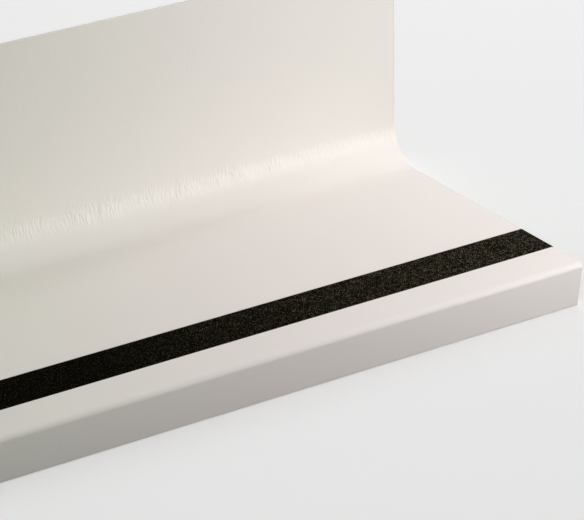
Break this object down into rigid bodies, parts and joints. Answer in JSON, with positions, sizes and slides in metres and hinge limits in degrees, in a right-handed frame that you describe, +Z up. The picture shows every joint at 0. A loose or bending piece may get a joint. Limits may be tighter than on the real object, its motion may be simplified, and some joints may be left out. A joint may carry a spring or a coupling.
{
  "type": "rubber stair tread",
  "caption": "One-piece rubber stair tread with a square nose, a coved riser and an abrasive strip set in behind the nose.",
  "frame": {"origin": "on the floor that the tread rests on, below the middle of its length and halfway between the front of its nose and the back of its riser", "axes": "+X along the length of the nose, +Y from the nose back to the riser, +Z up; the walking surface slopes, because the piece rests on its lip and its heel"},
  "size_m": [1.067, 0.3448, 0.2119],
  "materials": {
    "rubber": "satin, with a fine leather grain across the tread",
    "grit": "coarse matt grit with glinting grains"
  },
  "bodies": {
    "root": {"tread_riser": "rubber", "grit_strip": "grit"}
  },
  "joints": []
}
